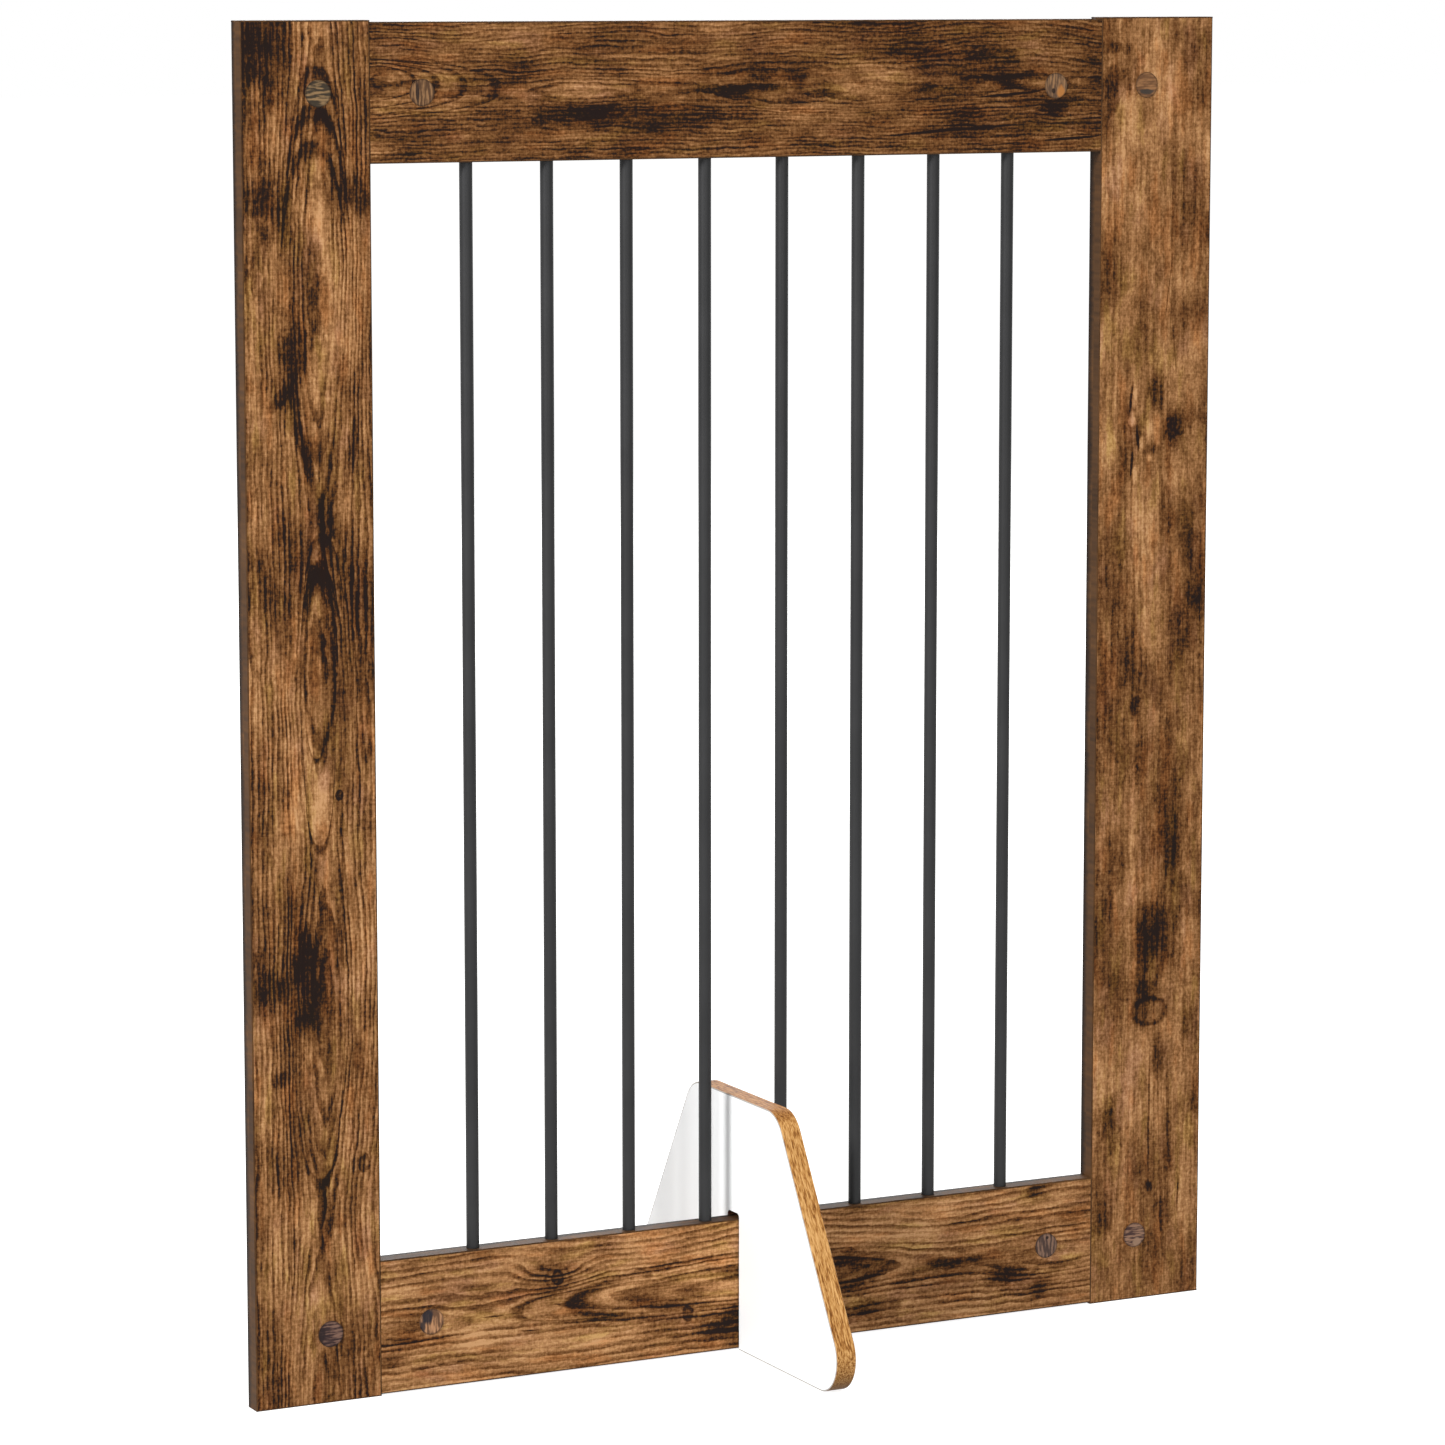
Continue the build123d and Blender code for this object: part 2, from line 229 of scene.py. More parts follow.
class Ruler:
    """Millimetres along and across the grain of one piece, and patterns measured on them."""

    def __init__(self, shade, node_name, upright, seed):
        low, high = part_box(node_name)
        x, y, z = shade.place().split()
        middle_depth = (low[1] + high[1]) / 2
        on_back = shade.math("GREATER_THAN", y, middle_depth)
        from_left = (x - low[0]) * MM_PER_METRE
        from_bottom = (z - low[2]) * MM_PER_METRE
        along, across = (from_bottom, from_left) if upright else (from_left, from_bottom)
        self.shade = shade
        self.along = along + on_back * BACK_SHIFT_MM
        self.across = across
        self.flat = shade.node("ShaderNodeCombineXYZ", {}, {0: self.along, 1: self.across, 2: seed})

    def noise(self, length, width, layer, detail=2.0, roughness=0.5):
        """Cloudy noise whose blotches are about this long and wide in millimetres.

        The layer keeps apart two noises on the same board, as two sheets cut from one block.
        """
        return self.flat.stretch((length, width, 1), shift=(0, 0, layer)).noise(1.0, detail, roughness)

    def reach(self, along, across, half_length, half_width):
        """Distance from the middle of an oval mark: 0 in its middle and 1 on its rim."""
        shrink = (1.0 / half_length, 1.0 / half_width, 0.0)
        shift = (-along / half_length, -across / half_width, 0.0)
        sockets = {0: self.flat, 1: shrink, 2: shift}
        local = self.shade.node("ShaderNodeVectorMath", {"operation": "MULTIPLY_ADD"}, sockets)
        return self.shade.node("ShaderNodeVectorMath", {"operation": "LENGTH"}, {0: local}, output=1)


# %% [markdown]
# ## Growth rings
#
# A flat-sawn board shows its growth rings as long lines that close into pointed arches where the saw
# left the middle of the tree. The lines are the contours of a hill: the height counts rings, and each
# whole number is the dark edge of one year. The hill here is a valley along the board's heart line,
# plus a few *swells*, long oval mounds or hollows that bend the lines, plus noise, so that no line is
# quite straight. A wave texture could draw lines too, but its lines can't close round a knot.

# %% The ring field
HEART_WANDER_MM = 16.0
DRIFT_MM = 8.0
SHIVER_MM = 5.6
ROUND_HEART = 60.0  # square millimetres, which round the bottom of the valley


def ring_count(ruler, heart, pitch, swells):
    """Count growth rings at each point: whole numbers are the rings' dark edges."""
    drift = ruler.noise(150, 60, layer=3.0, detail=1.0) - 0.5
    shiver = ruler.noise(26, 9, layer=5.0, detail=3.0, roughness=0.6) - 0.5
    off_heart = ruler.across - heart + drift * HEART_WANDER_MM
    slope = ruler.shade.math("SQRT", off_heart * off_heart + ROUND_HEART)
    count = (slope + drift * DRIFT_MM + shiver * SHIVER_MM) * (1.0 / pitch)
    for along, across, half_length, half_width, rings in swells:
        count = count + ruler.reach(along, across, half_length, half_width).fade(1.0, 0.0, 0.0, rings)
    return count


def ring_lines(ruler, count):
    """Darkness of the rings, from 0 to 1.

    Each year darkens slowly, to its own strength, and ends at a crisp edge. In places it is worn.
    """
    year = ruler.shade.math("FLOOR", count)
    part = count - year
    late_wood = part.fade(0.20, 0.72)
    crisp_edge = part.fade(1.0, 0.86)
    chance = ruler.shade.node("ShaderNodeTexWhiteNoise", {"noise_dimensions": "1D"}, {"W": year})
    worn = ruler.noise(60, 14, layer=7.0, detail=3.0).fade(0.34, 0.58, 0.40, 1.0)
    return late_wood * crisp_edge * (0.4 + chance * 0.6) * worn


# %% [markdown]
# ## Arches, stains, knots and cracks
#
# What makes the decor rustic is what a joiner would cut away: thick dark arches where the saw ran
# through the heart, smoky stains, knots with their own small rings, and fine black cracks. They could
# be painted by hand into an image, but then the print would blur close up and couldn't be moved or
# resized. So each mark is a small formula of the ruler's two lengths.
#
# An arch is a blunt parabola. Its line is thick at the tip and thin along its legs, as in real wood,
# because its thickness is measured along the grain. All the others are ovals with a soft or a sharp
# rim, and noise pushes the rim about, so that a stain bleeds into the fibres.

# %% Marks on a board
STAIN_RIM = 1.4
STAIN_CORE = 0.15
BEND_MM = 26.0
BLUNTNESS = 0.65


class Marks:
    """Draws the marks of one board. Each method adds one mark to its darkness."""

    def __init__(self, ruler):
        self.ruler = ruler
        fibres = ruler.noise(11, 1.8, layer=11.0, detail=3.0) - 0.5
        clouds = ruler.noise(12, 8, layer=13.0, detail=4.0, roughness=0.65) - 0.5
        self.smoke = fibres * 0.8 + clouds * 1.8
        self.wobble = (ruler.noise(6, 5, layer=17.0, detail=2.0) - 0.5) * 0.8
        self.bend = (ruler.noise(34, 16, layer=19.0, detail=3.0) - 0.5) * BEND_MM
        self.darkness = None

    def add(self, amount):
        self.darkness = amount if self.darkness is None else self.darkness + amount

    def stain(self, along, across, half_length, half_width, depth):
        """A smoky oval. A negative depth makes a pale patch."""
        reach = self.ruler.reach(along, across, half_length, half_width) + self.smoke
        self.add(reach.fade(STAIN_RIM, STAIN_CORE, 0.0, depth))

    def arch(self, along, across, half_width, length, thickness, depth):
        """A dark arch with its tip here. Its legs are this far apart, this much further down."""
        share = (self.ruler.across - across + self.bend * 0.08) * (1.0 / half_width)
        square = share * share
        drop = square * ((1.0 - BLUNTNESS) * length) + square * square * (BLUNTNESS * length)
        above = self.ruler.along - along + drop + self.bend * 0.25
        line = above.fade(-thickness, -0.3 * thickness) * above.fade(0.3 * thickness, 0.0)
        self.add(line * square.fade(1.9, 0.8, 0.0, depth))

    def loop(self, along, across, half_length, half_width, thickness, depth):
        """A closed dark line, as round a knot. The thickness is a share of the oval's size."""
        reach = self.ruler.reach(along, across, half_length, half_width) + self.wobble * 0.3
        line = reach.fade(1.0 - thickness, 1.0) * reach.fade(1.0 + thickness * 0.6, 1.0)
        self.add(line * depth)

    def knot(self, along, across, half_length, half_width, depth):
        """A dark eye in a darker rim."""
        reach = self.ruler.reach(along, across, half_length, half_width) + self.wobble
        self.add(reach.fade(1.15, 0.85, 0.0, depth) * reach.fade(0.2, 0.9, 0.45, 1.0))

    def stroke(self, along, across, half_length, half_width, rise, depth):
        """A crack, or a smear that crosses the grain: it climbs by this much from end to end."""
        offset = self.ruler.along - along
        height = self.ruler.across - across - offset * (0.5 * rise / half_length) + self.bend * 0.06
        off_line = height * (1.0 / half_width)
        to_end = offset * (1.0 / half_length)
        self.add((off_line * off_line + to_end * to_end).fade(1.0, 0.2, 0.0, depth))


# %% [markdown]
# ## From tone to wood
#
# Every layer so far moves one number, the *tone*: 0 is the black of a deep stain and 1 the palest
# fibre. One colour ramp then turns tone into brown. Two colours and a mix would be simpler, but a ramp
# keeps the colours of a real board, where dark places are also cooler and pale places are more
# golden. Last come three faint tints. One slow noise leans the brown to red where it is high and to
# olive where it is low, and another adds a little plum, as on a print made from several old boards.

# %% The printed wood
WOOD_STOPS = [
    (0.02, paint(28, 17, 13)),
    (0.12, paint(58, 33, 12)),
    (0.25, paint(91, 55, 23)),
    (0.37, paint(113, 74, 39)),
    (0.49, paint(134, 92, 53)),
    (0.64, paint(162, 115, 73)),
    (0.73, paint(176, 129, 83)),
    (0.86, paint(196, 148, 102)),
]
RED_TINT = (1.06, 0.93, 0.80, 1.0)
OLIVE_TINT = (0.96, 1.03, 0.80, 1.0)
PLUM_TINT = (0.96, 0.94, 1.08, 1.0)
FOIL_SHINE = 0.08


def wood_decor(node_name, upright, seed, tone, grain, patina, heart, pitch, ring_depth, swells, marks):
    """Make the printed wood of one board, with its own rings and marks."""
    material, shade = new_material(f"decor_{node_name}")
    ruler = Ruler(shade, node_name, upright, seed)
    rings = ring_lines(ruler, ring_count(ruler, heart, pitch, swells))
    fibre = ruler.noise(14, 0.9, layer=23.0, detail=3.0, roughness=0.6) - 0.5
    streak = ruler.noise(90, 2.8, layer=29.0, detail=4.0, roughness=0.6) - 0.5
    blotch = ruler.noise(32, 17, layer=31.0, detail=6.0, roughness=0.70) - 0.5
    speckle = ruler.noise(2.0, 1.6, layer=37.0, detail=2.0, roughness=0.6) - 0.5
    saw_mark = ruler.noise(0.8, 9, layer=41.0, detail=2.0) - 0.5
    shadow = ruler.noise(85, 38, layer=53.0, detail=2.0) - 0.5
    texture = (streak + fibre) * grain + (blotch + shadow) * patina + speckle * 0.7 + saw_mark * 0.25

    drawn = Marks(ruler)
    for kind, *measures in marks:
        getattr(drawn, kind)(*measures)
    level = tone + texture - rings * ring_depth - drawn.darkness

    brown = level.ramp(WOOD_STOPS)
    warmth = ruler.noise(38, 10, layer=43.0, detail=4.0, roughness=0.6)
    plum = ruler.noise(30, 14, layer=47.0, detail=3.0)
    brown = shade.mix(warmth.fade(0.52, 0.68), brown, RED_TINT, "MULTIPLY")
    brown = shade.mix(warmth.fade(0.48, 0.32), brown, OLIVE_TINT, "MULTIPLY")
    brown = shade.mix(plum.fade(0.52, 0.70), brown, PLUM_TINT, "MULTIPLY")

    roughness = 0.62 - level * 0.1
    relief = fibre - rings * 0.3
    finish_material(shade, brown, roughness, relief, bump_mm=0.06, Specular_IOR_Level=FOIL_SHINE)
    dress(node_name, material)
    print(node_name, "finish has", len(shade.tree.nodes), "nodes")


# %% [markdown]
# ## The left stile
#
# Each board has its own list of marks, in millimetres along the grain and across it, from the lower
# left corner. They could be scattered at random, but a board then looks speckled, not grown, so every
# mark has its own place. The left stile is the liveliest board. Down its middle, arches open
# downwards at the top, a dark funnel opens upwards, a long loop hangs below it, and pale tongues lie
# lower down. Near-black stains sit between them. A mark with a negative depth is pale.

# %% Dress the left stile
wood_decor(
    "left_stile",
    upright=True,
    seed=1.7,
    tone=0.515,
    grain=0.66,
    patina=1.0,
    heart=42.0,
    pitch=3.1,
    ring_depth=0.42,
    swells=[
        (606, 43, 150, 36, -3.6),
        (392, 41, 110, 26, -3.0),
        (214, 38, 120, 30, -3.2),
        (0, 36, 100, 30, -3.0),
    ],
    marks=[
        ("stain", 740, 9, 36, 27, 0.40),
        ("stain", 690, 0, 70, 12, 0.24),
        ("stain", 742, 62, 16, 16, 0.12),
        ("arch", 724, 42, 15, 40, 11, 0.30),
        ("arch", 704, 41, 17, 40, 12, 0.34),
        ("arch", 684, 40, 16, 30, 10, 0.32),
        ("stain", 655, 42, 28, 8, -0.16),
        ("stain", 652, 12, 26, 15, 0.40),
        ("stain", 658, 62, 11, 16, 0.22),
        ("stain", 607, 41, 26, 4.5, 0.42),
        ("stain", 573, 28, 28, 9, 0.44),
        ("stroke", 550, 20, 9, 6, 14, 0.30),
        ("stroke", 519, 34, 30, 4, -16, 0.30),
        ("stroke", 519, 60, 28, 4, 12, 0.26),
        ("stain", 512, 47, 24, 7, 0.12),
        ("stain", 488, 46, 15, 9, 0.38),
        ("arch", 476, 43, 11, 30, 7, 0.26),
        ("arch", 461, 41, 8, 16, 12, 0.30),
        ("loop", 408, 41, 46, 9, 0.26, 0.30),
        ("stain", 405, 41, 34, 3, -0.10),
        ("arch", 354, 38, 5, -14, 4, 0.30),
        ("arch", 307, 40, 9, -44, 6, 0.34),
        ("stain", 330, 40, 20, 5, -0.20),
        ("knot", 335, 51.5, 3.0, 2.4, 0.36),
        ("stain", 290, 51, 46, 3, 0.22),
        ("stain", 234, 35, 28, 11, 0.34),
        ("stain", 262, 30, 26, 8, 0.16),
        ("stain", 234, 5, 22, 10, 0.36),
        ("stain", 198, 33, 15, 6, -0.20),
        ("stain", 182, 15, 6, 5, 0.36),
        ("arch", 124, 38, 14, -56, 7, 0.24),
        ("stain", 158, 38, 30, 8, -0.14),
        ("stain", 100, 40, 20, 5, 0.22),
        ("knot", 131, 64, 6.0, 3.2, 0.34),
        ("stain", 91, 22, 10, 5, 0.20),
        ("stain", 400, 14, 70, 15, 0.13),
        ("stain", 420, 66, 74, 11, 0.10),
        ("stain", 412, 14, 22, 2.4, -0.24),
        ("stain", 432, 67, 12, 3, -0.14),
    ],
)

# %% [markdown]
# ## The right stile
#
# The other upright is calmer: few rings, more smoke and patina. Halfway up is a torn place, where
# black cracks and pale chips lie side by side, and lower down sits one knot in a thick ring. Two
# more fine cracks follow the grain in the upper half. The same function makes it, with faint rings
# and a stronger patina.

# %% Dress the right stile
wood_decor(
    "right_stile",
    upright=True,
    seed=4.3,
    tone=0.51,
    grain=0.48,
    patina=1.2,
    heart=58.0,
    pitch=4.6,
    ring_depth=0.17,
    swells=[(150, 58, 150, 22, -2.4)],
    marks=[
        ("stain", 732, 9, 4, 14, 0.30),
        ("stain", 715, 9, 11, 12, 0.34),
        ("stain", 722, 10, 3, 10, -0.12),
        ("stain", 690, 4, 26, 10, 0.22),
        ("stain", 702, 68, 20, 11, 0.20),
        ("stain", 690, 40, 24, 26, 0.06),
        ("stain", 655, 38, 40, 12, -0.12),
        ("stain", 629, 74, 11, 5, 0.42),
        ("stain", 590, 12, 60, 14, 0.06),
        ("stain", 537, 39, 15, 6, 0.44),
        ("stain", 514, 49, 12, 8, 0.40),
        ("stain", 517, 64, 6, 14, 0.22),
        ("stain", 501, 37, 5, 5, 0.26),
        ("stroke", 530, 21, 12, 1.2, 3, 0.34),
        ("stroke", 508, 26, 9, 1.2, -2, 0.34),
        ("stroke", 494, 22, 10, 1.2, 2, 0.30),
        ("stain", 533, 24, 5, 1.8, -0.46),
        ("stain", 519, 22, 4, 2.0, -0.44),
        ("stain", 513, 33, 6, 3.0, -0.44),
        ("stain", 505, 29, 4, 2.0, -0.40),
        ("stain", 497, 34, 3, 2.2, -0.38),
        ("stain", 488, 24, 5, 1.8, -0.36),
        ("stain", 486, 58, 12, 16, -0.14),
        ("stain", 450, 34, 34, 16, -0.12),
        ("stain", 416, 8, 14, 9, 0.18),
        ("stain", 400, 66, 28, 12, 0.18),
        ("stain", 352, 25, 6, 3.4, 0.36),
        ("stain", 353, 41, 6, 3.4, 0.26),
        ("stain", 372, 40, 14, 30, 0.10),
        ("stain", 265, 5, 90, 15, 0.18),
        ("stain", 258, 25, 90, 4, -0.20),
        ("stain", 296, 50, 42, 9, 0.22),
        ("stain", 250, 64, 60, 6, -0.12),
        ("stain", 214, 42, 24, 14, 0.24),
        ("stain", 196, 62, 26, 6, -0.16),
        ("stain", 183, 36, 8, 10, 0.24),
        ("loop", 171, 38, 8, 11.5, 0.42, 0.34),
        ("stain", 171, 38, 5, 8, 0.10),
        ("stain", 142, 45, 12, 5, 0.44),
        ("stain", 155, 56, 34, 5, -0.14),
        ("stain", 98, 52, 44, 2.8, 0.24),
        ("stain", 104, 11, 16, 9, 0.42),
        ("stain", 60, 8, 50, 14, 0.12),
        ("stain", 75, 62, 50, 10, -0.10),
        ("stain", 66, 39, 3.5, 3, 0.34),
        ("stroke", 112, 38.5, 52, 0.8, 0, 0.36),
        ("stroke", 60, 59, 13, 0.8, 1, 0.36),
        ("stroke", 596, 46, 22, 0.7, 5, 0.26),
        ("stroke", 560, 50, 20, 0.7, -4, 0.22),
    ],
)

# %% [markdown]
# ## The top rail
#
# The top rail is the darkest and finest-grained board, so its tone is low and its rings lie close
# together. Arches lie on their side at its left end, and three thin cracks climb slowly near the right.

# %% Dress the top rail
wood_decor(
    "top_rail",
    upright=False,
    seed=7.9,
    tone=0.385,
    grain=0.58,
    patina=0.95,
    heart=38.0,
    pitch=2.2,
    ring_depth=0.3,
    swells=[(130, 38, 70, 14, -2.2), (290, 30, 110, 12, -2.0)],
    marks=[
        ("loop", 10, 43, 9, 5, 0.30, 0.16),
        ("arch", 28, 42, 9, 20, 4, 0.26),
        ("arch", 40, 41, 11, 26, 5, 0.28),
        ("arch", 56, 40, 13, 34, 6, 0.26),
        ("arch", 76, 39, 14, 46, 7, 0.22),
        ("stain", 118, 23, 34, 6, 0.20),
        ("stain", 148, 23, 84, 8, 0.16),
        ("stain", 28, 15, 26, 8, 0.16),
        ("stain", 222, 37, 18, 3.4, 0.28),
        ("stain", 257, 43, 9, 6, 0.28),
        ("stain", 257, 31, 9, 5, 0.16),
        ("stain", 277, 34, 9, 3, 0.20),
        ("stain", 337, 36, 9, 3, 0.24),
        ("stain", 352, 55, 46, 15, 0.10),
        ("stain", 389, 44, 10, 8, 0.20),
        ("stain", 394, 53, 5, 4, 0.22),
        ("stain", 421, 24, 10, 5, 0.34),
        ("stain", 438, 48, 22, 9, 0.10),
        ("stain", 340, 12, 22, 4, 0.16),
        ("stain", 120, 38, 50, 5, -0.14),
        ("stain", 200, 40, 24, 5, -0.12),
        ("stain", 292, 36, 14, 4, -0.16),
        ("stain", 380, 20, 60, 9, -0.08),
        ("stain", 12, 44, 7, 5, -0.14),
        ("stroke", 393, 32.5, 26, 1.0, 4, 0.5),
        ("stroke", 353, 12.5, 58, 1.0, 7, 0.5),
        ("stroke", 432, 7, 20, 1.0, 3, 0.5),
    ],
)

# %% [markdown]
# ## The bottom rail
#
# The bottom rail is the palest board, with bold, wide rings that close into long ovals in the middle.
# That would be hard to get from marks alone. So its swells are large, and the rings bend round them,
# while three loops only darken the main lines. Its knots are small, and its stains nearly black.

# %% Dress the bottom rail
wood_decor(
    "bottom_rail",
    upright=False,
    seed=11.1,
    tone=0.66,
    grain=0.46,
    patina=0.95,
    heart=36.0,
    pitch=4.0,
    ring_depth=0.46,
    swells=[
        (225, 38, 175, 24, -3.6),
        (10, 36, 60, 14, -1.6),
        (430, 30, 80, 24, -2.4),
        (107, 57, 34, 17, 2.4),
    ],
    marks=[
        ("arch", 84, 36, 9, -44, 9, 0.24),
        ("loop", 216, 37, 98, 17, 0.20, 0.28),
        ("loop", 228, 36, 74, 11, 0.45, 0.30),
        ("loop", 232, 36, 44, 5.5, 0.50, 0.22),
        ("stain", 143, 37, 12, 6, -0.14),
        ("knot", 107, 53, 3.6, 4.6, 0.34),
        ("loop", 107, 53, 7.5, 7, 0.25, 0.16),
        ("knot", 188, 23, 3.6, 4.8, 0.34),
        ("stain", 163, 48, 3, 2.5, 0.3),
        ("stain", 214, 12, 18, 13, 0.50),
        ("stain", 217, 43, 10, 4, 0.30),
        ("stain", 74, 17, 22, 4, 0.16),
        ("stain", 6, 18, 12, 3, 0.26),
        ("stain", 28, 27, 22, 2, 0.22),
        ("stain", 303, 49, 20, 4, 0.20),
        ("stain", 290, 42, 12, 4, 0.24),
        ("stain", 354, 34, 14, 3.4, 0.40),
        ("stain", 374, 34, 14, 1.8, 0.26),
        ("stain", 397, 22, 15, 7, 0.46),
        ("stain", 432, 25, 14, 3.5, 0.36),
        ("stain", 417, 13, 6, 8, 0.30),
        ("stain", 309, 12, 24, 8, 0.40),
        ("stain", 298, 24, 12, 4, 0.20),
        ("stain", 414, 71, 6, 5, 0.36),
        ("stain", 437, 54, 12, 8, 0.20),
        ("stain", 355, 40, 90, 50, 0.06),
        ("stain", 60, 64, 60, 8, -0.10),
        ("stain", 340, 46, 40, 7, -0.08),
        ("stroke", 67, 35, 8, 0.6, 0, 0.4),
        ("stroke", 88, 25, 7, 0.6, -1, 0.4),
    ],
)

# %% [markdown]
# ## Edge banding
#
# The boards' narrow edges are covered with a thin strip of the same brown family, plainer and darker
# than the faces. From the front each strip is only a fine dark line round the board, which is what
# makes the joints read. One material could serve all the strips, but then the same streak would show
# on several of them, so each strip is measured from its own corner and has its own seed.

# %% Dress the banding
EDGING_STOPS = [
    (0.25, paint(30, 19, 12)),
    (0.42, paint(60, 40, 23)),
    (0.58, paint(86, 58, 33)),
    (0.80, paint(126, 87, 48)),
]
# Where the painted shade along each strip's back corner starts and ends, and how dark it gets.
BACK_SHADE_START = 0.0060
BACK_SHADE_END = 0.0004
BACK_SHADE_DEPTH = 0.30


def dark_edging(node_name, upright, seed):
    """Make the plain brown strip for one edge, with painted shade along its back corner."""
    material, shade = new_material(f"edging_{node_name}")
    ruler = Ruler(shade, node_name, upright, seed)
    streak = ruler.noise(45, 2.5, layer=3.0, detail=3.0)
    fleck = ruler.noise(3, 1.0, layer=7.0, detail=2.0)
    depth = shade.place().split()[1]
    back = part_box(node_name)[1][1]
    # Painted shade: the strip darkens towards the board's back corner.
    back_shade = depth.fade(back - BACK_SHADE_START, back - BACK_SHADE_END, 0.0, BACK_SHADE_DEPTH)
    tone = streak * 0.6 + fleck * 0.4
    brown = (tone - back_shade).ramp(EDGING_STOPS)
    roughness = 0.5 + fleck * 0.15
    finish_material(shade, brown, roughness, tone, bump_mm=0.05, Specular_IOR_Level=FOIL_SHINE)
    dress(node_name, material)


BANDS = [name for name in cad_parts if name.endswith("_band") and not name.startswith("foot")]
for number, band in enumerate(sorted(BANDS)):
    dark_edging(band, upright="stile" in band, seed=20.0 + number)
print("banded edges:", len(BANDS))

# %% [markdown]
# ## Cover caps
#
# Eight round stickers hide the cam fittings. They are cut from the same printed foil, but nobody
# lines them up: on every board the sticker's grain runs the other way, so it shows as a disc. Each
# has its own stretch of print, most of them greyer than the board round them. The boards' own
# material would do the opposite and hide them, so they get a simpler one: two colours, a few spots
# in millimetres from the sticker's lower left, and a painted shadow line darkening the rim.

# %% Dress the cover caps
CAP_PRINTS = {
    "top_left_stile": (paint(58, 50, 40), paint(140, 112, 78), []),
    "top_left_rail": (
        paint(84, 60, 42),
        paint(142, 106, 72),
        [(7, 4.5, 7, 1.3, paint(40, 32, 30))],
    ),
    "top_right_rail": (
        paint(92, 70, 54),
        paint(146, 110, 76),
        [(4, 10.5, 4, 3, paint(176, 116, 60)), (4.5, 5.5, 1.5, 1.2, paint(40, 30, 26))],
    ),
    "top_right_stile": (
        paint(104, 72, 48),
        paint(146, 104, 68),
        [(7.5, 3.5, 5.5, 1.6, paint(58, 54, 50))],
    ),
    "bottom_left_stile": (
        paint(54, 40, 40),
        paint(124, 94, 80),
        [(1, 7, 3, 6, paint(44, 34, 34))],
    ),
    "bottom_left_rail": (
        paint(104, 74, 54),
        paint(182, 134, 96),
        [(11, 4, 6, 4, paint(34, 36, 44)), (5, 2, 5, 2.2, paint(38, 38, 44))],
    ),
    "bottom_right_rail": (
        paint(74, 58, 52),
        paint(132, 102, 84),
        [(12, 8, 1.3, 1.2, paint(34, 26, 24))],
    ),
    "bottom_right_stile": (
        paint(66, 48, 46),
        paint(146, 112, 90),
        [(9, 3, 3, 3, paint(150, 120, 98))],
    ),
}
cap_low, cap_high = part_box("cover_cap_top_left_stile")
CAP_RADIUS_MM = (cap_high[0] - cap_low[0]) / 2 * MM_PER_METRE


def cover_print(corner, dark, pale, spots, seed):
    """Make one sticker's foil, its grain square to the board's, with a painted shadow round its rim."""
    material, shade = new_material(f"print_{corner}")
    ruler = Ruler(shade, f"cover_cap_{corner}", upright=corner.endswith("rail"), seed=seed)
    line = ruler.noise(8, 1.2, layer=2.0, detail=3.0)
    cloud = ruler.noise(7, 5, layer=5.0, detail=2.0)
    foil = shade.mix((line * 0.7 + cloud * 0.3).fade(0.44, 0.60), dark, pale)
    for along, across, half_length, half_width, colour in spots:
        spot = ruler.reach(along, across, half_length, half_width) + (cloud - 0.5) * 1.2
        foil = shade.mix(spot.fade(1.1, 0.6, 0.0, 0.9), foil, colour)
    # Painted shadow: a dark line round the sticker's rim.
    rim = ruler.reach(CAP_RADIUS_MM, CAP_RADIUS_MM, CAP_RADIUS_MM, CAP_RADIUS_MM)
    foil = shade.mix(rim.fade(0.86, 0.97, 0.0, 0.55), foil, paint(40, 28, 20))
    finish_material(shade, foil, 0.5, line, bump_mm=0.04, Specular_IOR_Level=FOIL_SHINE)
    dress(f"cover_cap_{corner}", material)


for number, (corner, (dark, pale, spots)) in enumerate(CAP_PRINTS.items()):
    cover_print(corner, dark, pale, spots, seed=50.0 + number)
print("cover caps:", len(CAP_PRINTS), "each", round(2 * CAP_RADIUS_MM, 1), "mm across")

# %% [markdown]
# ## The bars
#
# The bars are steel rods in black powder coat. Powder flows out in the oven but keeps a very fine
# orange peel, which shows as a soft, broken highlight. A plain dark grey would look like a flat
# stripe. A fine noise in the bump gives the peel, and a slower one in the colour and the roughness
# gives the slight unevenness where hands and cloths have been. All eight bars share one material,
# because its noise is measured from the whole object's origin and so differs from bar to bar.

# %% Dress the bars
def powder_coat():
    """Make the satin black coat that all the bars share."""
    material, shade = new_material("black_powder_coat")
    place = shade.place()
    peel = place.noise(1400.0, detail=2.0)
    rubbed = place.noise(22.0, detail=3.0)
    black = shade.mix(rubbed.fade(0.35, 0.7), paint(26, 26, 27), paint(34, 34, 35))
    roughness = 0.46 + rubbed * 0.14
    finish_material(shade, black, roughness, peel, bump_mm=0.02, Specular_IOR_Level=0.3)
    return material


bar_coat = powder_coat()
BARS = [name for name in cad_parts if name.startswith("bar_")]
for bar in BARS:
    dress(bar, bar_coat)
print("bars:", len(BARS))
